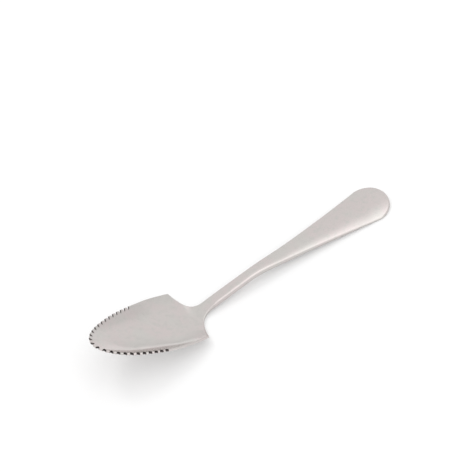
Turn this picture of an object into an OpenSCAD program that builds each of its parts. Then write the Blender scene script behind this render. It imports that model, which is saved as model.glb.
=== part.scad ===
// Grapefruit spoon: one blade of stainless steel with a dished, serrated bowl.
// It lies on the plane z = 0, on the heel of the bowl and the end of the handle.
// The x axis runs from the tip of the bowl to the end of the handle, and the
// origin is on the table under the middle of the spoon.

/* [Overall] */
// Length along the table, from the tip of the bowl to the end of the handle
overall_len = 165; // [150:1:180]
// Height of the underside of the bowl's tip above the table
tip_h = 25.2; // [22:0.2:28]

/* [Bowl] */
// Width of the bowl where it is widest, to the middle of the sheet's edge
bowl_w = 34; // [31:0.2:36]
// Width across the two square shoulders at the back of the bowl, measured alike
shoulder_w = 32; // [29:0.2:34]
// Depth of the dish under a straight edge laid across the rim
bowl_depth = 4.8; // [3.5:0.1:6]
// Length from the tip to the widest place
widest_x = 39.5; // [36:0.5:45]
// Length from the tip to the shoulder corners
shoulder_x = 50.6; // [48:0.2:53]
// Length over which the shoulders sweep in to the neck
shoulder_run = 14.4; // [12:0.2:17]

/* [Serrated rim] */
// Width of a notch at the lower edge of the rim
notch_w = 2.3; // [1.6:0.1:2.6]
// Depth of a notch, square to its own axis
notch_deep = 1.9; // [1.4:0.1:2.3]
// How far the notches lean outwards at their top, as an angle
notch_lean = 30; // [0:1:35]
// Distance along the rim from the notch at the tip to the next on the right
right_pitch = 3.4; // [3:0.05:3.8]
// Distance along the rim from the notch at the tip to the next on the left
left_pitch = 3.23; // [2.9:0.05:3.7]
// Notches on the right side, beside the one at the tip
right_notches = 12; // [8:1:13]
// Notches on the left side, beside the one at the tip
left_notches = 13; // [8:1:13]

/* [Neck and handle] */
// Width of the neck
neck_w = 5.6; // [4.5:0.1:6.5]
// Length from the tip to where the handle starts to widen
handle_x = 85; // [78:1:92]
// Width of the handle at its broad end
handle_w = 20.2; // [17:0.2:23]
// Length of the rounded end of the handle
end_round = 10.8; // [9:0.2:12]

/* [Sheet] */
// Thickness of the steel at the rim of the bowl
rim_t = 1.1; // [0.9:0.1:1.5]
// Thickness of the steel at the neck
neck_t = 2.8; // [2.2:0.1:3.2]
// Thickness of the steel at the end of the handle
handle_t = 1.9; // [1.5:0.1:2.3]
// Slope of the handle's top at its sides, as an angle
crown = 15; // [5:1:20]

/* [Hidden] */

half_bowl = bowl_w / 2;
half_shoulder = shoulder_w / 2;
half_neck = neck_w / 2;
half_handle = handle_w / 2;

// Height of the underside along the centre line, as [share of the overall
// length, share of the tip height]: down the bowl to the heel, which touches
// the table, up the neck to the crest, and down the handle to its end, which
// lies flat where the handle is broadest, so that the spoon stands on three
// places and doesn't rock.
under_shares = [
    [0, 1], [0.07, 0.671], [0.135, 0.435], [0.197, 0.246], [0.24, 0.154], [0.283, 0.069],
    [0.332, 0], [0.372, 0.04], [0.41, 0.072], [0.47, 0.119], [0.54, 0.157],
    [0.65, 0.104], [0.8, 0.044], [0.88, 0.017], [0.935, 0], [1, 0]
];

// How strongly the sheet is dished across, as [share of the overall length,
// share of the bowl's depth].
dish_shares = [
    [0, 1.4], [0.07, 1.3], [0.2, 0.98], [0.28, 0.76], [0.33, 0.62], [0.38, 0.22], [0.43, 0], [1, 0]
];

// How steeply the top falls away at the sides of the handle, as [share of the
// overall length, share of the crown].
crown_shares = [[0, 0], [0.39, 0], [0.48, 0.6], [0.7, 1], [1, 1]];

// Powers of the curves of the bowl's front, the widening handle, the shoulders'
// sweep and the crown
front_power = 1.8;
widen_power = 1.4;
sweep_power = 4;
crown_power = 3;

// Share of the dish that rises close to the rim, and the least half width that
// its curve is stretched over
rim_lift = 0.5;
least_half = 0.4;

// The edge of the sheet is rolled over about this many half thicknesses, and
// never more than the softest section allows.
edge_roll = 0.9;
softest_section = 2.5;

// Rings of the blade: steps in each stretch, and points round each ring
bowl_steps = 30;
back_steps = 8;
sweep_steps = 14;
shaft_steps = 24;
round_steps = 10;
ring_points = 32;
// Angle left flat at the two blunt ends
blunt_angle = 3;

// Steps in which the rim's length is measured, and the step of a slope
rim_steps = 120;
slope_step = overall_len / 1000;

// How much the pitch of the notches falls from each to the next, the length of
// their cutter, its corners, and how pointed they are
pitch_fall = 0.054;
cutter_l = 4 * rim_t;
cutter_corners = 16;
cutter_point = 0.75;

// Index of the stretch of a table that holds x
function stretch_of(table, x, i = 0) =
    (i >= len(table) - 2 || x < table[i + 1][0]) ? i : stretch_of(table, x, i + 1);

// Slope of a table at its entry i, which is level at a lowest or highest entry
// and where the table starts or stops running level
function table_slope(table, i) =
    let (
        before = table[max(i - 1, 0)],
        here = table[i],
        after = table[min(i + 1, len(table) - 1)],
        inside = i > 0 && i < len(table) - 1
    )
    inside && (here[1] - before[1]) * (after[1] - here[1]) <= 0 ? 0
    : (after[1] - before[1]) / (after[0] - before[0]);

// Smooth curve through the entries of a table
function smooth(table, x) =
    let (
        i = stretch_of(table, x),
        from = table[i],
        to = table[i + 1],
        run = to[0] - from[0],
        u = (x - from[0]) / run,
        rise = to[1] - from[1],
        leave = table_slope(table, i) * run,
        arrive = table_slope(table, i + 1) * run
    )
    from[1] + rise * u * u * (3 - 2 * u)
        + leave * u * (1 - u) * (1 - u)
        - arrive * u * u * (1 - u);

// Thickness of the sheet along the blade
function sheet_t(x) =
    smooth([
        [0, rim_t],
        [shoulder_x, rim_t],
        [shoulder_x + shoulder_run, neck_t],
        [handle_x, neck_t],
        [overall_len, handle_t]
    ], x);

// Height of the underside on the centre line, and half the sheet's thickness
// there, measured straight up
function under_z(x) = tip_h * smooth(under_shares, x / overall_len);
function half_rise(x) =
    let (lean = (under_z(x + slope_step) - under_z(x)) / slope_step)
    sheet_t(x) / 2 * sqrt(1 + lean * lean);

// Strength of the dish at x, and the half width over which it steepens
function dish(x) = bowl_depth * smooth(dish_shares, x / overall_len) / pow(half_bowl, 2);
function span(x) = max(least_half, half_width(min(x, shoulder_x)));

// Height of the sheet's middle at a place on it, and its slope across the blade
function sheet_z(x, y) =
    under_z(x) + half_rise(x)
        + dish(x) * ((1 - rim_lift) * pow(y, 2) + rim_lift * pow(y, 4) / pow(span(x), 2));
function slope_y(x, y) =
    dish(x) * (2 * (1 - rim_lift) * y + 4 * rim_lift * pow(y, 3) / pow(span(x), 2));

// Height of the top over the sheet's middle, lower at the sides of the handle
function top_rise(x, y) =
    let (
        slope = tan(crown) * smooth(crown_shares, x / overall_len),
        shaft = half_width(min(max(x, shoulder_x + shoulder_run), overall_len - end_round))
    )
    half_rise(x) - slope * shaft / crown_power * pow(min(1, abs(y) / shaft), crown_power);

// Half the width of the blade: a rounded front to the widest place, a slow taper
// to the shoulders, the sweep in to the neck, and the widening handle.
function bowl_half(x) =
    half_bowl * sqrt(max(0, 1 - pow((1 - x / widest_x) * cos(blunt_angle), front_power)));
function back_half(x) =
    half_bowl - (half_bowl - half_shoulder) * pow((x - widest_x) / (shoulder_x - widest_x), 2);
function sweep_half(x) =
    half_neck + (half_shoulder - half_neck) * pow(1 - (x - shoulder_x) / shoulder_run, sweep_power);
function shaft_half(x) =
    half_neck + (half_handle - half_neck)
        * pow(max(0, x - handle_x) / (overall_len - end_round - handle_x), widen_power);
function end_half(x) =
    shaft_half(overall_len - end_round)
        * sqrt(max(0, 1 - pow((x - overall_len + end_round) / end_round * cos(blunt_angle), 2)));
function half_width(x) =
    x < widest_x ? bowl_half(x)
    : x < shoulder_x ? back_half(x)
    : x < shoulder_x + shoulder_run ? sweep_half(x)
    : x < overall_len - end_round ? shaft_half(x)
    : end_half(x);

// Places of the rings along the blade
function even(from, to, steps) = [for (i = [0 : steps - 1]) from + (to - from) * i / steps];
ring_places = concat(
    [for (i = [0 : bowl_steps - 1])
        widest_x * (1 - cos(blunt_angle + (90 - blunt_angle) * i / bowl_steps) / cos(blunt_angle))],
    even(widest_x, shoulder_x, back_steps),
    [for (i = [0 : sweep_steps - 1]) shoulder_x + shoulder_run * pow(i / sweep_steps, 2)],
    even(shoulder_x + shoulder_run, overall_len - end_round, shaft_steps),
    [for (i = [0 : round_steps])
        overall_len - end_round * (1 - sin((90 - blunt_angle) * i / round_steps) / cos(blunt_angle))]
);

// One ring: the sheet's section at x, with its two edges rolled and its thickness
// square to the sheet
function ring(x) =
    let (
        half = half_width(x),
        half_t = half_rise(x),
        power = max(softest_section, edge_roll * half / half_t)
    )
    [for (j = [0 : ring_points - 1])
        let (
            turn = 360 * j / ring_points,
            y = half * cos(turn),
            rise = sin(turn) > 0 ? top_rise(x, y) : -half_t,
            slope = slope_y(x, y),
            out = rise * sqrt(1 - pow(abs(cos(turn)), power)) / sqrt(1 + slope * slope)
        )
        [x, y - slope * out, sheet_z(x, y) + out]
    ];

// The length of rim from the middle of the tip back to each place
function rim_point(x) = [x, half_width(x), sheet_z(x, half_width(x))];
rim_places = [for (i = [0 : rim_steps]) widest_x * (1 - cos(90 * i / rim_steps))];
function rim_lengths(i = 1, so_far = half_width(0), found = [[0, 0], [half_width(0), 0]]) =
    i > rim_steps ? found
    : let (here = so_far + norm(rim_point(rim_places[i]) - rim_point(rim_places[i - 1])))
        rim_lengths(i + 1, here, concat(found, [[here, rim_places[i]]]));
rim_table = rim_lengths();

// A point of the rim at a length from the tip, which is negative on the right
function rim_at(s) =
    let (x = lookup(abs(s), rim_table), y = min(abs(s), half_width(x)))
    [x, sign(s) * y, sheet_z(x, y)];

// The blade without its notches, as one closed surface
module blade_blank() {
    rings = [for (x = ring_places) ring(x)];
    last = len(rings) - 1;
    points = [for (r = rings) each r];
    sides = [for (i = [0 : last - 1], j = [0 : ring_points - 1])
        let (
            a = i * ring_points + j,
            b = i * ring_points + (j + 1) % ring_points,
            c = b + ring_points,
            d = a + ring_points
        )
        each [[a, c, b], [a, d, c]]
    ];
    front = [for (j = [0 : ring_points - 1]) j];
    back = [for (j = [0 : ring_points - 1]) last * ring_points + ring_points - 1 - j];
    polyhedron(points = points, faces = concat(sides, [front, back]));
}

// One notch's outline: between an ellipse and a diamond
notch_outline = [for (i = [0 : cutter_corners - 1])
    let (
        turn = 360 * i / cutter_corners,
        flat = cutter_point / (abs(cos(turn)) + abs(sin(turn))) + 1 - cutter_point
    )
    flat * [notch_w / 2 * cos(turn), notch_deep * sin(turn)]
];

// One cutter at a length of rim from the tip, leaning outwards at its top
module rim_notch(s) {
    here = rim_at(s);
    lean_x = (sheet_z(here.x + slope_step, here.y) - here.z) / slope_step;
    lean_y = (sheet_z(here.x, abs(here.y) + slope_step) - here.z) / slope_step;
    square = [-lean_x, -sign(s) * lean_y, 1] / norm([lean_x, lean_y, 1]);
    inward = cross(rim_at(s + slope_step) - rim_at(s - slope_step), square);
    in = inward / norm(inward);
    along = cross(in, square);
    multmatrix([
        [along.x, in.x, square.x, here.x],
        [along.y, in.y, square.y, here.y],
        [along.z, in.z, square.z, here.z]
    ])
        translate([0, -rim_t / 2 * tan(notch_lean), 0])
            rotate([notch_lean, 0, 0])
                linear_extrude(height = cutter_l, center = true) polygon(notch_outline);
}

// The row of notches round the front of the bowl, closer together further back
function notch_at(i, pitch) = pitch * i - pitch_fall / 2 * i * i;
module rim_notches() {
    rim_notch(0);
    for (i = [1 : right_notches]) rim_notch(-notch_at(i, right_pitch));
    for (i = [1 : left_notches]) rim_notch(notch_at(i, left_pitch));
}

module spoon() {
    color("lightgray")
        translate([-overall_len / 2, 0, 0])
            difference() {
                blade_blank();
                rim_notches();
            }
}

spoon();
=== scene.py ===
"""Dresses a grapefruit spoon: the steel blade with its notched rim, and the studio round it."""

import math

import bmesh
import bpy
import numpy as np
from bpy.props import FloatProperty, FloatVectorProperty, IntProperty, PointerProperty
from bpy.types import Operator, Panel, PropertyGroup
from mathutils import Matrix, Vector


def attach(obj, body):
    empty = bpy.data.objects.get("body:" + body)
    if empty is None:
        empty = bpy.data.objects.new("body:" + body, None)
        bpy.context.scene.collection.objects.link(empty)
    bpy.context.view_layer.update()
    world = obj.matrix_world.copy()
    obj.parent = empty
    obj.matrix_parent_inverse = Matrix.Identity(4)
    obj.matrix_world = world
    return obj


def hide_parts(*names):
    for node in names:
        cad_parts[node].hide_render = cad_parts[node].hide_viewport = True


bl_info = {
    "name": "Grapefruit spoon",
    "version": (1, 0, 0),
    "blender": (4, 5, 0),
    "location": "3D View > Sidebar > Spoon",
    "description": "Builds a steel grapefruit spoon with a notched rim, and a studio for it",
    "category": "Object",
}

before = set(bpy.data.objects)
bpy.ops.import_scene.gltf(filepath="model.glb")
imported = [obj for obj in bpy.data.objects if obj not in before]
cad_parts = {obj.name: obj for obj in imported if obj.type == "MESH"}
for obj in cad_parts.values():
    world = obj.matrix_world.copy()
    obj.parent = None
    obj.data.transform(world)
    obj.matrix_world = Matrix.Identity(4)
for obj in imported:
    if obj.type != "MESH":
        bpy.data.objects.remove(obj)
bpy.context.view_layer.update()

NODE = "spoon"
BODY = "root"
MM = 0.001

# Height of the underside along the middle, down the bowl to the heel, over the
# neck's crest and along the handle: shares of the length and of the tip's height.
UNDER_SHARES = (
    (0, 0.07, 0.135, 0.197, 0.24, 0.283, 0.332, 0.372, 0.41, 0.47, 0.54, 0.65, 0.8, 0.88, 0.935, 1),
    (1, 0.671, 0.435, 0.246, 0.154, 0.069, 0, 0.04, 0.072, 0.119, 0.157, 0.104, 0.044, 0.017, 0, 0),
)

# How strongly the sheet is dished across: shares of the length and of the dish.
DISH_SHARES = (
    (0, 0.07, 0.2, 0.28, 0.31, 0.335, 0.37, 0.43, 1),
    (1.4, 1.3, 0.98, 0.76, 0.67, 0.32, 0.1, 0, 0),
)

# How much of the dish rises close to the rim, which fades towards the shoulders:
# shares of the length and of the rim lift.
LIFT_SHARES = (
    (0, 0.22, 0.285, 1),
    (1, 1, 0, 0),
)

# How steeply the top falls away at the sides of the handle: shares of the length
# and of the crown.
CROWN_SHARES = (
    (0, 0.39, 0.48, 0.7, 0.87, 1),
    (0, 0, 0.6, 1, 1, 0.8),
)

# Width of the rounding along the edge: shares of the length and of the rim's.
EDGE_SHARES = (
    (0, 0.33, 0.42, 0.6, 0.85, 1),
    (1, 1, 2, 2, 1.5, 1.5),
)

# How far under the middle of the sheet its edge reaches out most: shares of the
# length and of the drop.
DROP_SHARES = (
    (0, 0.33, 0.42, 1),
    (0, 0, 1, 1),
)

# Powers of the bowl's front, the handle's widening, the shoulders' sweep, the
# crown and the edge
FRONT_POWER = 1.8
WIDEN_POWER = 1.4
SWEEP_POWER = 4
CROWN_POWER = 3
EDGE_POWER = 2.8

# Samples along each stretch of the outline, across the sheet and round its edge
BOWL_SAMPLES = 120
BACK_SAMPLES = 24
CORNER_SAMPLES = 8
SWEEP_SAMPLES = 54
SHAFT_SAMPLES = 70
END_SAMPLES = 44
ACROSS = 40
ROUND_EDGE = 10

# Samples along the bowl's front where the notches are spaced, and sides of a cutter
RIM_SAMPLES = 600
CUTTER_SIDES = 48

# Height of a notch's cutter, as a share of the rim's thickness
CUTTER_SHARE = 4

# Steps in the length, one of which is the run over which a slope is measured, and
# over which the turn at the shoulder's corner is
SLOPE_STEPS = 1000
CORNER_STEPS = 100000

# Sharpest fold that is shaded smooth, and the distance at which points are merged
SHARP_ANGLE = math.radians(38)
MERGE = 0.002 * MM

# Patterns of the steel: spots to a metre along, across and up, and how broken up they are
PATCHES = ((95, 95, 95), 2)
SMUDGES = ((110, 110, 110), 3)
GRAIN = ((430, 430, 430), 3)
LINES = ((60, 1400, 1400), 3)
WAVES = ((90, 160, 160), 1)
MARKS = ((900, 900, 5000), 2)

# Where each pattern fades in, from none to full, and the middle of a pattern
PATCH_RANGE = (0.4, 0.66)
SMUDGE_RANGE = (0.4, 0.7)
GRAIN_RANGE = (0.45, 0.75)
MARK_RANGE = (0.3, 0.7)
MIDDLE = 0.5

# How much rougher smudges, polishing lines and the cutter's marks make the steel
SMUDGE_ROUGH = 0.05
LINE_ROUGH = 0.06
MARK_ROUGH = 0.2

# Height of the waves and of the marks, and the lines' height as a share of the waves'
WAVE_HEIGHT = 0.006 * MM
MARK_HEIGHT = 0.04 * MM
LINE_SHARE = 0.1

# Colour of the notches' walls between the marks, as a share of the marks' own; both are painted shade
# for the dark inside of the notches
NOTCH_SHADE_BETWEEN_MARKS = 0.6

# Where the softbox, the shade and the dim horizon fade in, from none to full, by how far
# a direction points along the spoon, across it or up
SOFTBOX_FAR = (0.56, 0.08)
SOFTBOX_NEAR = (-0.5, 0.0)
SOFTBOX_END = (0.62, 0.4)
SOFTBOX_TIP = (-0.05, 0.22)
SHADE_END = (0.6, 0.9)
SHADE_NEAR = (0.35, -0.1)
HORIZON_UP = (0.3, 0.05)
HORIZON_FAR = (0.4, 0.8)

# What is left of the softbox at its near side
SOFTBOX_NEAR_SHARE = 0.7

# Direction, distance and width of the key lamp
KEY_TOWARD = (-0.15, 0.5, 0.85)
KEY_DISTANCE = 1000 * MM
KEY_W = 300 * MM

# Half the width of the floor, and how close to the camera things are still seen
FLOOR_HALF = 1500 * MM
CLIP_START = 50 * MM

# Width of the camera's film, in millimetres as its lens is
FILM_W = 36

# Names of the blade before it is cut, and of what cuts it
BLADE = "grapefruit_spoon_blade"
CUTTERS = "rim_notch_cutters"


def smooth(shares, at):
    """Smooth curve through a table of shares, level at its turning places."""
    xs, ys = (np.array(row, float) for row in shares)
    count = len(xs)
    before = np.maximum(np.arange(count) - 1, 0)
    after = np.minimum(np.arange(count) + 1, count - 1)
    slope = (ys[after] - ys[before]) / (xs[after] - xs[before])
    inside = (np.arange(count) > 0) & (np.arange(count) < count - 1)
    slope[inside & ((ys - ys[before]) * (ys[after] - ys) <= 0)] = 0
    i = np.clip(np.searchsorted(xs, at, side="right") - 1, 0, count - 2)
    run = xs[i + 1] - xs[i]
    u = (at - xs[i]) / run
    rise = (ys[i + 1] - ys[i]) * u * u * (3 - 2 * u)
    return ys[i] + rise + run * (slope[i] * u * (1 - u) ** 2 - slope[i + 1] * u * u * (1 - u))


def unit(directions):
    """Directions in rows, or one alone, each made 1 long."""
    return directions / np.linalg.norm(directions, axis=-1, keepdims=True)


class BladeForm:
    """The blade's outline, sheet and section, measured from the tip of the bowl."""

    def __init__(self, sizes):
        self.s = sizes

    def share(self, shares, x):
        """What a table of shares says at x."""
        return smooth(shares, x / self.s.overall_len)

    def centred(self, places):
        """Places measured from the middle of the spoon's length, as the frame has them."""
        return places - [self.s.overall_len / 2, 0, 0]

    def thickness(self, x):
        """Thickness of the steel at x."""
        s = self.s
        places = (0, s.shoulder_x, s.shoulder_x + s.shoulder_run, s.handle_x, s.overall_len)
        return smooth((places, (s.rim_t, s.rim_t, s.neck_t, s.neck_t, s.handle_t)), x)

    def under(self, x):
        """Height of the underside at x, along the middle."""
        return self.s.tip_h * self.share(UNDER_SHARES, x)

    def half_rise(self, x):
        """Half the height of the sheet at x, which is more than its thickness on a slope."""
        step = self.s.overall_len / SLOPE_STEPS
        lean = (self.under(x + step) - self.under(x)) / step
        return self.thickness(x) / 2 * np.sqrt(1 + lean**2)

    def dish(self, x):
        """Strength of the dish at x, its share close to the rim, and the half width there."""
        s = self.s
        span = np.maximum(self.half_width(np.minimum(x, s.shoulder_x)), s.edge_round)
        dish = s.bowl_depth * self.share(DISH_SHARES, x) / (s.bowl_w / 2) ** 2
        return dish, s.rim_lift * self.share(LIFT_SHARES, x), span

    def sheet(self, x, y):
        """Height of the sheet's middle: a dish that steepens towards the rim."""
        dish, lift, span = self.dish(x)
        across = (1 - lift) * y**2 + lift * y**4 / span**2
        return self.under(x) + self.half_rise(x) + dish * across

    def section(self, x, y, rise):
        """Points at a distance from the sheet's middle, square to it across the blade."""
        dish, lift, span = self.dish(x)
        slope = dish * (2 * (1 - lift) * y + 4 * lift * y**3 / span**2)
        square = np.sqrt(1 + slope**2)
        return np.stack([x, y - slope / square * rise, self.sheet(x, y) + rise / square], 1)

    def half_width(self, x):
        """Half the width of the outline at x."""
        s = self.s
        bowl, shoulder, neck, broad = s.bowl_w / 2, s.shoulder_w / 2, s.neck_w / 2, s.handle_w / 2
        round_x = s.overall_len - s.end_round
        in_front = np.clip(x / s.widest_x, 0, 1)
        front = bowl * np.sqrt(1 - (1 - in_front) ** FRONT_POWER)
        back = bowl - (bowl - shoulder) * ((x - s.widest_x) / (s.shoulder_x - s.widest_x)) ** 2
        in_sweep = np.clip(1 - (x - s.shoulder_x) / s.shoulder_run, 0, 1)
        sweep = neck + (shoulder - neck) * in_sweep**SWEEP_POWER
        in_shaft = np.maximum(0, x - s.handle_x) / (round_x - s.handle_x)
        shaft = neck + (broad - neck) * in_shaft**WIDEN_POWER
        end = broad * np.sqrt(np.maximum(0, 1 - ((x - round_x) / s.end_round) ** 2))
        stretches = [x < s.widest_x, x < s.shoulder_x, x < s.shoulder_x + s.shoulder_run, x < round_x]
        return np.select(stretches, [front, back, sweep, shaft], end)

    def corner(self):
        """The shoulder's small round, in place of the sharp corner."""
        s = self.s
        step = s.overall_len / CORNER_STEPS
        point = np.array([s.shoulder_x, s.shoulder_w / 2])
        before = np.array([s.shoulder_x - step, self.half_width(s.shoulder_x - step)])
        after = np.array([s.shoulder_x + step, self.half_width(s.shoulder_x + step)])
        arrive = unit(point - before)
        leave = unit(after - point)
        turn = math.acos(float(arrive @ leave))
        trim = s.corner_round * math.tan(turn / 2)
        start = point - trim * arrive
        centre = start + s.corner_round * np.array([arrive[1], -arrive[0]])
        first = math.atan2(*(start - centre)[::-1])
        angles = first - turn * np.linspace(0, 1, CORNER_SAMPLES)
        arc = centre + s.corner_round * np.stack([np.cos(angles), np.sin(angles)], 1)
        return arc, start[0], (point + trim * leave)[0]

    def outline(self):
        """Points of the blade's outline on its left side, and the outward directions there."""
        s = self.s
        arc, arc_from, arc_to = self.corner()
        sweep_end = s.shoulder_x + s.shoulder_run
        round_x = s.overall_len - s.end_round
        quarter = np.pi / 2
        bowl = s.widest_x * (1 - np.cos(np.linspace(0, quarter, BOWL_SAMPLES, endpoint=False)))
        back = np.linspace(s.widest_x, arc_from, BACK_SAMPLES, endpoint=False)
        sweep = arc_to + (sweep_end - arc_to) * np.linspace(0, 1, SWEEP_SAMPLES + 1)[1:] ** 2
        shaft = np.linspace(sweep_end, round_x, SHAFT_SAMPLES + 1)[1:]
        end = round_x + s.end_round * np.sin(np.linspace(0, quarter, END_SAMPLES + 1)[1:])
        front_x = np.concatenate([bowl, back])
        back_x = np.concatenate([sweep, shaft, end])
        back_y = self.half_width(back_x)
        back_y[-1] = 0
        points = np.concatenate([
            np.stack([front_x, self.half_width(front_x)], 1),
            arc,
            np.stack([back_x, back_y], 1),
        ])
        mirrored = points[1:2] * [1, -1], points[-2:-1] * [1, -1]
        padded = np.concatenate([mirrored[0], points, mirrored[1]])
        ahead = unit(padded[2:] - points)
        behind = unit(points - padded[:-2])
        along = unit(ahead + behind)
        return points, np.stack([-along[:, 1], along[:, 0]], 1)

    def top_rise(self, x, y):
        """Height of the top over the sheet's middle, lower at the sides of the handle."""
        s = self.s
        lean = math.tan(s.crown) * self.share(CROWN_SHARES, x)
        shaft = self.half_width(np.clip(x, s.shoulder_x + s.shoulder_run, s.overall_len - s.end_round))
        across = np.minimum(1, np.abs(y) / shaft)
        return self.half_rise(x) - lean * shaft / CROWN_POWER * across**CROWN_POWER

    def ring(self, point, outward):
        """The closed section that ends at a point of the outline, as points in space."""
        edge = self.s.edge_round * self.share(EDGE_SHARES, point[0])
        inner = point - edge * outward
        inner[1] = max(inner[1], 0)
        y = inner[1] * np.sin(np.linspace(-np.pi / 2, np.pi / 2, ACROSS + 1))
        x = np.full_like(y, inner[0])
        upper = self.section(x, y, self.top_rise(x, y))
        lower = self.section(x, y, -self.half_rise(x))[::-1]
        turn = np.linspace(0, np.pi, ROUND_EDGE + 1)[1:-1]
        reach = edge * np.sin(turn) ** (2 / EDGE_POWER)
        height = np.sign(np.cos(turn)) * np.abs(np.cos(turn)) ** (2 / EDGE_POWER)
        edge_x = inner[0] + reach * outward[0]
        edge_y = inner[1] + reach * outward[1]
        drop = self.s.edge_drop * self.share(DROP_SHARES, point[0])
        low = -drop * self.half_rise(edge_x)
        upper_part = self.top_rise(edge_x, edge_y) - low
        lower_part = self.half_rise(edge_x) + low
        rise = low + height * np.where(height > 0, upper_part, lower_part)
        left = self.section(edge_x, edge_y, rise)
        right = (left * [1, -1, 1])[::-1]
        return np.concatenate([upper, left, lower, right])


def bake(obj, name):
    """A plain mesh object of what the modifiers make of obj, which is then removed."""
    graph = bpy.context.evaluated_depsgraph_get()
    mesh = bpy.data.meshes.new_from_object(obj.evaluated_get(graph), depsgraph=graph)
    baked = bpy.data.objects.new(name, mesh)
    mesh.name = name
    bpy.context.scene.collection.objects.link(baked)
    bpy.data.objects.remove(obj, do_unlink=True)
    return baked


class Wire:
    """A value in a tree of nodes that can stand in a sum."""

    def __init__(self, tree, socket):
        self.tree = tree
        self.socket = socket

    def __add__(self, other):
        return self.tree.maths("ADD", self, other)

    def __sub__(self, other):
        return self.tree.maths("SUBTRACT", self, other)

    def __rsub__(self, other):
        return self.tree.maths("SUBTRACT", other, self)

    def __mul__(self, other):
        return self.tree.maths("MULTIPLY", self, other)

    def __truediv__(self, other):
        return self.tree.maths("DIVIDE", self, other)

    def __rtruediv__(self, other):
        return self.tree.maths("DIVIDE", other, self)

    __radd__ = __add__
    __rmul__ = __mul__


class Tree:
    """Adds nodes to one tree and joins them up."""

    def __init__(self, tree):
        self.tree = tree
        self.tree.nodes.clear()

    def node(self, kind, settings=None, sockets=None, out=0):
        """Adds a node with its settings and sockets, and gives one of its outputs."""
        made = self.tree.nodes.new(kind)
        for name, value in (settings or {}).items():
            setattr(made, name, value)
        for key, value in (sockets or {}).items():
            if isinstance(value, Wire):
                self.tree.links.new(value.socket, made.inputs[key])
            else:
                made.inputs[key].default_value = value
        return Wire(self, made.outputs[out]) if made.outputs else None

    def other(self, wire, out):
        """Another output of the node that a wire comes from."""
        return Wire(self, wire.socket.node.outputs[out])

    def maths(self, operation, first, second):
        """What one operation makes of two values."""
        return self.node("ShaderNodeMath", {"operation": operation}, {0: first, 1: second})

    def shaped(self, value, start, full, least=0.0):
        """The value, eased from the least at the start to 1 at the full, and held beyond."""
        settings = {"interpolation_type": "SMOOTHSTEP"}
        sockets = {"Value": value, 1: start, 2: full, 3: least, 4: 1.0}
        return self.node("ShaderNodeMapRange", settings, sockets)

    def mixed(self, factor, first, second):
        """A colour between two colours, which have sockets 6 and 7 and output 2."""
        settings = {"data_type": "RGBA"}
        return self.node("ShaderNodeMix", settings, {0: factor, 6: first, 7: second}, out=2)

    def stretched(self, place, scale):
        """A place, stretched along each axis."""
        settings = {"operation": "MULTIPLY"}
        return self.node("ShaderNodeVectorMath", settings, {0: place, 1: scale})

    def noise(self, place, pattern):
        """Soft spots over a place, as many and as broken up as the pattern says."""
        scales, detail = pattern
        sockets = {"Vector": self.stretched(place, scales), "Scale": 1.0, "Detail": detail}
        return self.node("ShaderNodeTexNoise", {}, sockets)

    def relief(self, level, height):
        """Normal of a surface that stands up by the height where the level is 1."""
        sockets = {"Strength": 1.0, "Distance": height, "Height": level}
        return self.node("ShaderNodeBump", {}, sockets)


class SpoonBlade(PropertyGroup):
    """Sizes of the steel blade."""

    overall_len: FloatProperty(
        name="Overall length", description="Tip of the bowl to the end of the handle",
        default=165 * MM, unit="LENGTH",
    )
    tip_h: FloatProperty(
        name="Tip height", description="Underside of the tip above the table",
        default=25.2 * MM, unit="LENGTH",
    )
    bowl_w: FloatProperty(
        name="Bowl width", description="Width of the bowl where it is widest",
        default=33.64 * MM, unit="LENGTH",
    )
    shoulder_w: FloatProperty(
        name="Shoulder width", description="Width across the two square shoulders",
        default=32 * MM, unit="LENGTH",
    )
    bowl_depth: FloatProperty(
        name="Bowl depth", description="Depth of the dish under a straight edge on the rim",
        default=4.8 * MM, unit="LENGTH",
    )
    widest_x: FloatProperty(
        name="Widest place", description="Length from the tip to the widest place",
        default=39.5 * MM, unit="LENGTH",
    )
    shoulder_x: FloatProperty(
        name="Shoulder place", description="Length from the tip to the shoulders",
        default=50.6 * MM, unit="LENGTH",
    )
    shoulder_run: FloatProperty(
        name="Shoulder sweep", description="Length over which the shoulders sweep in to the neck",
        default=14.4 * MM, unit="LENGTH",
    )
    corner_round: FloatProperty(
        name="Shoulder round", description="Radius of the shoulders' corners",
        default=0.5 * MM, unit="LENGTH",
    )
    neck_w: FloatProperty(
        name="Neck width", description="Width of the neck",
        default=5.3 * MM, unit="LENGTH",
    )
    handle_x: FloatProperty(
        name="Handle start", description="Length from the tip to where the handle widens",
        default=85 * MM, unit="LENGTH",
    )
    handle_w: FloatProperty(
        name="Handle width", description="Width of the handle's broad end",
        default=20.8 * MM, unit="LENGTH",
    )
    end_round: FloatProperty(
        name="End round", description="Length of the handle's rounded end",
        default=10.6 * MM, unit="LENGTH",
    )
    rim_t: FloatProperty(
        name="Rim thickness", description="Thickness of the steel at the bowl's rim",
        default=1.1 * MM, unit="LENGTH",
    )
    neck_t: FloatProperty(
        name="Neck thickness", description="Thickness of the steel at the neck",
        default=2.8 * MM, unit="LENGTH",
    )
    handle_t: FloatProperty(
        name="Handle thickness", description="Thickness of the steel at the handle's end",
        default=1.9 * MM, unit="LENGTH",
    )
    edge_round: FloatProperty(
        name="Edge round", description="Width of the rounding along the edge of the sheet",
        default=0.4 * MM, unit="LENGTH",
    )
    edge_drop: FloatProperty(
        name="Edge drop",
        description="How low the handle's edge reaches out most, from middle to underside",
        default=0.65, min=0, max=1,
    )
    crown: FloatProperty(
        name="Crown", description="Slope of the handle's top at its sides",
        default=math.radians(15), subtype="ANGLE",
    )
    rim_lift: FloatProperty(
        name="Rim lift", description="Share of the dish that lies close to the rim",
        default=0.5, min=0, max=1,
    )


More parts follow.
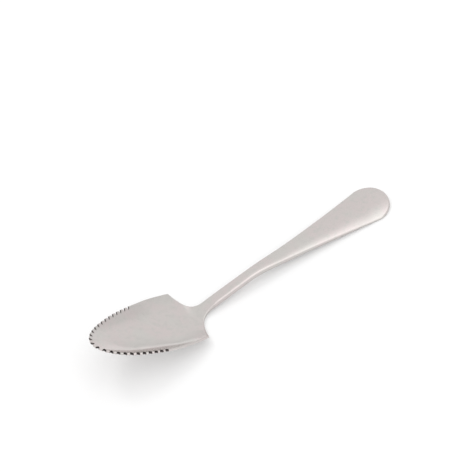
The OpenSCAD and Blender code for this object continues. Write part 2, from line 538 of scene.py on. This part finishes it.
class SpoonRim(PropertyGroup):
    """Sizes of the notches in the rim."""

    notch_w: FloatProperty(
        name="Notch width", description="Width of a notch at the rim's lower edge",
        default=1.95 * MM, unit="LENGTH",
    )
    notch_deep: FloatProperty(
        name="Notch depth", description="Depth of a notch in from the rim's lower edge",
        default=1.9 * MM, unit="LENGTH",
    )
    notch_lean: FloatProperty(
        name="Notch lean", description="How far the notches lean outwards at their top",
        default=math.radians(20), subtype="ANGLE",
    )
    notch_point: FloatProperty(
        name="Notch point", description="Shape of a notch, from an ellipse at 0 to a diamond at 1",
        default=0.75, min=0, max=1,
    )
    right_pitch: FloatProperty(
        name="Right pitch", description="Distance from the notch at the tip to the next on the right",
        default=3.4 * MM, unit="LENGTH",
    )
    left_pitch: FloatProperty(
        name="Left pitch", description="Distance from the notch at the tip to the next on the left",
        default=3.23 * MM, unit="LENGTH",
    )
    pitch_fall: FloatProperty(
        name="Pitch fall", description="How much the pitch falls from each notch to the next",
        default=0.054 * MM, unit="LENGTH",
    )
    right_notches: IntProperty(
        name="Right notches", description="Notches on the right side, beside the one at the tip",
        default=12, min=1, max=13,
    )
    left_notches: IntProperty(
        name="Left notches", description="Notches on the left side, beside the one at the tip",
        default=13, min=1, max=13,
    )


class SpoonSteel(PropertyGroup):
    """Colours and polish of the steel."""

    face: FloatVectorProperty(
        name="Polished face", description="Colour of the polished steel",
        default=(0.609, 0.556, 0.545), subtype="COLOR", size=3, min=0, max=1,
    )
    cool: FloatVectorProperty(
        name="Cool patches", description="Colour of the steel where it looks greyer",
        default=(0.588, 0.566, 0.545), subtype="COLOR", size=3, min=0, max=1,
    )
    grain: FloatProperty(
        name="Grain", description="How much darker the fine dull spots of the steel are",
        default=0.035, min=0, max=1,
    )
    # Notch walls: a dark colour that is painted shade, standing in for the shade inside the notches
    cut: FloatVectorProperty(
        name="Notch walls", description="Colour of the steel where the notches are cut",
        default=(0.16, 0.14, 0.135), subtype="COLOR", size=3, min=0, max=1,
    )
    roughness: FloatProperty(
        name="Polish", description="Roughness of the polished steel",
        default=0.13, min=0, max=1,
    )
    cut_roughness: FloatProperty(
        name="Notch roughness", description="Least roughness of the notches' walls",
        default=0.35, min=0, max=1,
    )


class SpoonStudio(PropertyGroup):
    """Camera, light and floor."""

    azimuth: FloatProperty(
        name="Camera azimuth", description="Direction of the camera round the spoon",
        default=math.radians(-121.229), subtype="ANGLE",
    )
    elevation: FloatProperty(
        name="Camera elevation", description="Height of the camera over the floor",
        default=math.radians(50.469), subtype="ANGLE",
    )
    roll: FloatProperty(
        name="Camera roll", description="Turn of the camera about its own axis",
        default=math.radians(-7.312), subtype="ANGLE",
    )
    distance: FloatProperty(
        name="Camera distance", description="Distance from the camera to the spoon",
        default=1200 * MM, unit="LENGTH",
    )
    across: FloatProperty(
        name="Camera move across", description="How far the camera stands to its right",
        default=-4.19 * MM, unit="LENGTH",
    )
    up: FloatProperty(
        name="Camera move up", description="How far the camera stands up its own frame",
        default=22.48 * MM, unit="LENGTH",
    )
    view_w: FloatProperty(
        name="View width", description="Width of the view at the spoon",
        default=216.53 * MM, unit="LENGTH",
    )
    sky: FloatProperty(
        name="Surround", description="Brightness of the white surround",
        default=1.0, min=0,
    )
    softbox: FloatProperty(
        name="Softbox", description="How much brighter the surround is in the softbox overhead",
        default=0.7, min=0,
    )
    shade: FloatProperty(
        name="End shade", description="How much dimmer the surround is past the handle's end",
        default=0.12, min=0, max=1,
    )
    horizon: FloatProperty(
        name="Dim horizon", description="How much dimmer the surround is low down behind the spoon",
        default=0.12, min=0, max=1,
    )
    key: FloatProperty(
        name="Key lamp", description="Power of the lamp that casts the shadow",
        default=1.2, min=0, subtype="POWER",
    )
    floor: FloatVectorProperty(
        name="Floor", description="Colour of the floor",
        default=(0.9, 0.9, 0.9), subtype="COLOR", size=3, min=0, max=1,
    )
    floor_white: FloatProperty(
        name="Floor's white", description="Share of plain white in the floor as it is seen",
        default=0.19, min=0, max=1,
    )


class SPOON_OT_blade(Operator):
    """Lofts the steel blade from the tip of the bowl to the end of the handle"""

    bl_idname = "spoon.blade"
    bl_label = "Blade"

    def execute(self, context):
        form = BladeForm(context.scene.spoon_blade)
        points, outward = form.outline()
        rings = [form.ring(p, n) for p, n in zip(points, outward)]
        size = len(rings[0])
        faces = []
        for first in range(0, (len(rings) - 1) * size, size):
            for j in range(size):
                after = (j + 1) % size
                faces.append((first + j, first + after, first + size + after, first + size + j))
        mesh = bpy.data.meshes.new(BLADE)
        mesh.from_pydata(form.centred(np.concatenate(rings)).tolist(), [], faces)
        blade = bpy.data.objects.new(BLADE, mesh)
        context.scene.collection.objects.link(blade)
        close_mesh(mesh)
        return {"FINISHED"}


def close_mesh(mesh):
    """Merges the ends of the loft and turns every face outwards."""
    work = bmesh.new()
    work.from_mesh(mesh)
    bmesh.ops.remove_doubles(work, verts=work.verts, dist=MERGE)
    bmesh.ops.dissolve_degenerate(work, edges=work.edges, dist=MERGE)
    bmesh.ops.recalc_face_normals(work, faces=work.faces)
    open_edges = [e for e in work.edges if not e.is_manifold]
    work.to_mesh(mesh)
    work.free()
    if open_edges:
        raise RuntimeError(f"the blade has {len(open_edges)} open edges")


def notch_tree():
    """The tree that stands a pointed cutter at each point of the rim's line."""
    group = bpy.data.node_groups.new(CUTTERS, "GeometryNodeTree")
    given = {"Rim": "Geometry", "Cutter": "Vector", "Point": "Float", "Steel": "Material"}
    for name, kind in given.items():
        group.interface.new_socket(name=name, in_out="INPUT", socket_type=f"NodeSocket{kind}")
    group.interface.new_socket(
        name="Cutters", in_out="OUTPUT", socket_type="NodeSocketGeometry"
    )
    tree = Tree(group)
    start = tree.node("NodeGroupInput")
    inputs = {name: tree.other(start, name) for name in given}
    vector = {"data_type": "FLOAT_VECTOR"}
    axis = tree.node("GeometryNodeInputNamedAttribute", vector, {"Name": "axis"})
    along = tree.node("GeometryNodeInputNamedAttribute", vector, {"Name": "along"})
    upright = tree.node("FunctionNodeAlignRotationToVector", {"axis": "Z"}, {"Vector": axis})
    turned = tree.node(
        "FunctionNodeAlignRotationToVector", {"axis": "X", "pivot_axis": "Z"},
        {"Rotation": upright, "Vector": along},
    )
    rod = tree.node(
        "GeometryNodeMeshCylinder", {}, {"Vertices": CUTTER_SIDES, "Radius": 1.0, "Depth": 1.0}
    )
    place = tree.node("GeometryNodeInputPosition")
    plain = tree.node("ShaderNodeVectorMath", {"operation": "ABSOLUTE"}, {0: place})
    reach = tree.node(
        "ShaderNodeVectorMath", {"operation": "DOT_PRODUCT"}, {0: plain, 1: (1, 1, 0)},
        out="Value",
    )
    flat = inputs["Point"] / reach + 1.0 - inputs["Point"]
    factors = tree.node("ShaderNodeCombineXYZ", {}, {0: flat, 1: flat, 2: 1.0})
    pointed = tree.node(
        "GeometryNodeSetPosition", {},
        {"Geometry": rod, "Position": tree.stretched(place, factors)},
    )
    stood = tree.node(
        "GeometryNodeInstanceOnPoints", {},
        {"Points": inputs["Rim"], "Instance": pointed, "Rotation": turned, "Scale": inputs["Cutter"]},
    )
    real = tree.node("GeometryNodeRealizeInstances", {}, {"Geometry": stood})
    dressed = tree.node(
        "GeometryNodeSetMaterial", {}, {"Geometry": real, "Material": inputs["Steel"]}
    )
    tree.node("NodeGroupOutput", {}, {"Cutters": dressed})
    return group


class SPOON_OT_rim_notches(Operator):
    """Cuts the row of notches in the front rim of the bowl"""

    bl_idname = "spoon.rim_notches"
    bl_label = "Rim notches"

    def rim_places(self, form, rim):
        """The notches' places, with the rim's direction and the cutter's axis at each."""
        x = form.s.widest_x * (1 - np.cos(np.linspace(0, np.pi / 2, RIM_SAMPLES)))
        y = form.half_width(x)
        z = form.sheet(x, y)
        steps = np.linalg.norm(np.diff(np.stack([x, y, z], 1), axis=0), axis=1)
        length = np.concatenate([[0], np.cumsum(steps)])
        count = np.arange(-rim.right_notches, rim.left_notches + 1)
        pitch = np.where(count < 0, rim.right_pitch, rim.left_pitch)
        reach = pitch * count - np.sign(count) * rim.pitch_fall / 2 * count**2
        step = form.s.overall_len / SLOPE_STEPS

        def point(at):
            """Places on the rim's line at distances from the tip, right ones below 0."""
            along = np.interp(np.abs(at), length, x)
            across = np.sign(at) * form.half_width(along)
            return np.stack([along, across, form.sheet(along, across)], 1)

        here = point(reach)
        lean_x = (form.sheet(here[:, 0] + step, here[:, 1]) - here[:, 2]) / step
        lean_y = (form.sheet(here[:, 0], np.abs(here[:, 1]) + step) - here[:, 2]) / step
        square = unit(np.stack([-lean_x, -np.sign(count) * lean_y, np.ones_like(lean_x)], 1))
        along = point(reach + step) - point(reach - step)
        outward = unit(np.cross(square, along))
        foot = here + outward * form.s.rim_t / 2 * math.tan(rim.notch_lean)
        axis = square + outward * math.tan(rim.notch_lean)
        return form.centred(foot), along, axis

    def cutters(self, context):
        """All the cutters as one plain object."""
        sizes, rim = context.scene.spoon_blade, context.scene.spoon_rim
        places, along, axis = self.rim_places(BladeForm(sizes), rim)
        mesh = bpy.data.meshes.new(CUTTERS)
        mesh.from_pydata(places.tolist(), [], [])
        for name, directions in (("along", along), ("axis", axis)):
            attribute = mesh.attributes.new(name, "FLOAT_VECTOR", "POINT")
            attribute.data.foreach_set("vector", directions.ravel())
        line = bpy.data.objects.new(CUTTERS, mesh)
        context.scene.collection.objects.link(line)
        group = notch_tree()
        nodes = line.modifiers.new("cutters", "NODES")
        nodes.node_group = group
        wanted = {
            "Cutter": (rim.notch_w / 2, rim.notch_deep, CUTTER_SHARE * sizes.rim_t),
            "Point": rim.notch_point,
            # The cutters carry the notches' painted shade to the walls they cut
            "Steel": painted_notch_shade_steel(context.scene.spoon_steel),
        }
        for socket in group.interface.items_tree:
            if socket.name in wanted:
                nodes[socket.identifier] = wanted[socket.name]
        return bake(line, f"{CUTTERS}_baked")

    def execute(self, context):
        blade = bpy.data.objects.get(BLADE)
        if blade is None:
            raise RuntimeError("the notches need the blade first")
        cutters = self.cutters(context)
        blade.data.materials.append(polished_steel(context.scene.spoon_steel))
        cut = blade.modifiers.new("notches", "BOOLEAN")
        cut.operation = "DIFFERENCE"
        cut.solver = "EXACT"
        cut.object = cutters
        # The cut walls take the cutters' material, the notches' painted shade
        cut.material_mode = "TRANSFER"
        spoon = bake(blade, "grapefruit_spoon")
        bpy.data.objects.remove(cutters, do_unlink=True)
        spoon.data.shade_smooth()
        spoon.data.set_sharp_from_angle(angle=SHARP_ANGLE)
        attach(spoon, BODY)
        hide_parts(NODE)
        return {"FINISHED"}


def opaque(colour, share=1.0):
    """A colour as a socket takes it, darkened to a share of itself."""
    return (*(part * share for part in colour), 1)


def new_steel(name):
    """A new material, its tree, and the place on the spoon that its patterns follow."""
    material = bpy.data.materials.new(name)
    material.use_nodes = True
    tree = Tree(material.node_tree)
    return material, tree, tree.node("ShaderNodeTexCoord", out="Object")


def finish_steel(tree, colour, rough, normal):
    """Ends a tree in metal of the given colour, roughness and normal."""
    sockets = {"Base Color": colour, "Metallic": 1.0, "Roughness": rough, "Normal": normal}
    metal = tree.node("ShaderNodeBsdfPrincipled", {}, sockets)
    tree.node("ShaderNodeOutputMaterial", {}, {"Surface": metal})


def polished_steel(look):
    """Satin-polished stainless steel, with fine lines along the blade and faint smudges."""
    material, tree, place = new_steel("polished_steel")
    lines = tree.noise(place, LINES)
    waves = tree.noise(place, WAVES)
    cooler = tree.shaped(tree.noise(place, PATCHES), *PATCH_RANGE)
    smudged = tree.shaped(tree.noise(place, SMUDGES), *SMUDGE_RANGE)
    duller = tree.shaped(tree.noise(place, GRAIN), *GRAIN_RANGE)
    patched = tree.mixed(cooler, opaque(look.face), opaque(look.cool))
    colour = tree.mixed(duller, patched, opaque(look.cool, 1 - look.grain))
    rough = smudged * SMUDGE_ROUGH + (lines - MIDDLE) * LINE_ROUGH + look.roughness
    normal = tree.relief(lines * LINE_SHARE + waves, WAVE_HEIGHT)
    finish_steel(tree, colour, rough, normal)
    return material


def painted_notch_shade_steel(look):
    """Rougher steel of the notches' walls, painted dark as shade inside the notches, with the cutter's
    marks across them.
    """
    material, tree, place = new_steel("notch_painted_shade_steel")
    marks = tree.noise(place, MARKS)
    marked = tree.shaped(marks, *MARK_RANGE)
    colour = tree.mixed(marked, opaque(look.cut, NOTCH_SHADE_BETWEEN_MARKS), opaque(look.cut))
    rough = marks * MARK_ROUGH + look.cut_roughness
    finish_steel(tree, colour, rough, tree.relief(marks, MARK_HEIGHT))
    return material


class SPOON_OT_studio(Operator):
    """Sets up the pale floor, the soft light and the camera"""

    bl_idname = "spoon.studio"
    bl_label = "Studio"

    def key_lamp(self, look):
        """The soft square lamp that faces the spoon and casts its shadow."""
        light = bpy.data.lights.new("key", "AREA")
        light.shape = "SQUARE"
        light.size = KEY_W
        light.energy = look.key
        key = bpy.data.objects.new("key", light)
        toward = Vector(KEY_TOWARD).normalized()
        key.location = toward * KEY_DISTANCE
        key.rotation_euler = toward.to_track_quat("Z", "Y").to_euler()
        key.visible_glossy = False
        bpy.context.scene.collection.objects.link(key)

    def floor(self, look):
        """The pale floor, which has some plain white in it for the camera and the metal."""
        half = FLOOR_HALF
        corners = [(-half, -half, 0), (half, -half, 0), (half, half, 0), (-half, half, 0)]
        mesh = bpy.data.meshes.new("floor")
        mesh.from_pydata(corners, [], [(0, 1, 2, 3)])
        floor = bpy.data.objects.new("floor", mesh)
        bpy.context.scene.collection.objects.link(floor)
        material = bpy.data.materials.new("pale_floor")
        material.use_nodes = True
        tree = Tree(material.node_tree)
        matt = tree.node("ShaderNodeBsdfDiffuse", {}, {"Color": opaque(look.floor)})
        white = tree.node("ShaderNodeEmission", {}, {"Color": (1, 1, 1, 1), "Strength": 1.0})
        to_camera = tree.node("ShaderNodeLightPath", out="Is Camera Ray")
        to_metal = tree.other(to_camera, "Is Glossy Ray")
        share = (to_camera + to_metal) * look.floor_white
        shown = tree.node("ShaderNodeMixShader", {}, {0: share, 1: matt, 2: white})
        tree.node("ShaderNodeOutputMaterial", {}, {"Surface": shown})
        mesh.materials.append(material)

    def surround(self, look):
        """A white surround with a softbox overhead, dimmer past the end and low down behind."""
        world = bpy.data.worlds.new("surround")
        world.use_nodes = True
        tree = Tree(world.node_tree)
        toward = tree.node("ShaderNodeTexCoord", out="Generated")
        x = tree.node("ShaderNodeSeparateXYZ", {}, {0: toward}, out="X")
        y = tree.other(x, "Y")
        z = tree.other(x, "Z")
        across = tree.shaped(y, *SOFTBOX_FAR) * tree.shaped(y, *SOFTBOX_NEAR, SOFTBOX_NEAR_SHARE)
        box = across * tree.shaped(x, *SOFTBOX_END) * tree.shaped(x, *SOFTBOX_TIP)
        shade = tree.shaped(x, *SHADE_END) * tree.shaped(y, *SHADE_NEAR)
        horizon = tree.shaped(z, *HORIZON_UP) * tree.shaped(y, *HORIZON_FAR)
        level = look.sky + box * look.softbox - shade * look.shade - horizon * look.horizon
        sky = tree.node(
            "ShaderNodeBackground", {}, {"Color": (1, 1, 1, 1), "Strength": level}
        )
        tree.node("ShaderNodeOutputWorld", {}, {"Surface": sky})
        bpy.context.scene.world = world

    def camera(self, look):
        """The camera at the photograph's viewing angle."""
        data = bpy.data.cameras.new("camera")
        data.sensor_width = FILM_W
        data.lens = FILM_W * look.distance / look.view_w
        data.clip_start = CLIP_START
        camera = bpy.data.objects.new("camera", data)
        bpy.context.scene.collection.objects.link(camera)
        toward = Vector((
            math.cos(look.elevation) * math.cos(look.azimuth),
            math.cos(look.elevation) * math.sin(look.azimuth),
            math.sin(look.elevation),
        ))
        level = Vector((-math.sin(look.azimuth), math.cos(look.azimuth), 0))
        upright = toward.cross(level)
        right = math.cos(look.roll) * level + math.sin(look.roll) * upright
        up = math.cos(look.roll) * upright - math.sin(look.roll) * level
        place = look.distance * toward + look.across * right + look.up * up
        turn = Matrix((right, up, toward)).transposed().to_4x4()
        camera.matrix_world = Matrix.Translation(place) @ turn
        bpy.context.scene.camera = camera

    def execute(self, context):
        look = context.scene.spoon_studio
        context.scene.view_settings.view_transform = "Standard"
        self.floor(look)
        self.surround(look)
        self.camera(look)
        self.key_lamp(look)
        return {"FINISHED"}


class SPOON_PT_panel(Panel):
    """Lists the spoon's sizes and its operators"""

    bl_idname = "SPOON_PT_panel"
    bl_label = "Grapefruit spoon"
    bl_space_type = "VIEW_3D"
    bl_region_type = "UI"
    bl_category = "Spoon"

    def draw(self, context):
        for group, operator in PANEL_ROWS:
            box = self.layout.box()
            values = getattr(context.scene, group)
            for name in values.__annotations__:
                box.prop(values, name)
            if operator:
                box.operator(operator)


PANEL_ROWS = (
    ("spoon_blade", "spoon.blade"),
    ("spoon_rim", "spoon.rim_notches"),
    ("spoon_steel", None),
    ("spoon_studio", "spoon.studio"),
)
GROUPS = {
    "spoon_blade": SpoonBlade,
    "spoon_rim": SpoonRim,
    "spoon_steel": SpoonSteel,
    "spoon_studio": SpoonStudio,
}
CLASSES = (*GROUPS.values(), SPOON_OT_blade, SPOON_OT_rim_notches, SPOON_OT_studio, SPOON_PT_panel)


def register():
    """Makes the sizes, the operators and the panel known."""
    for cls in CLASSES:
        bpy.utils.register_class(cls)
    for name, group in GROUPS.items():
        setattr(bpy.types.Scene, name, PointerProperty(type=group))


def unregister():
    """Takes them away again."""
    for name in GROUPS:
        delattr(bpy.types.Scene, name)
    for cls in reversed(CLASSES):
        bpy.utils.unregister_class(cls)


def main():
    """Builds the studio and the spoon."""
    register()
    bpy.ops.spoon.studio()
    bpy.ops.spoon.blade()
    bpy.ops.spoon.rim_notches()


if __name__ == "__main__":
    main()
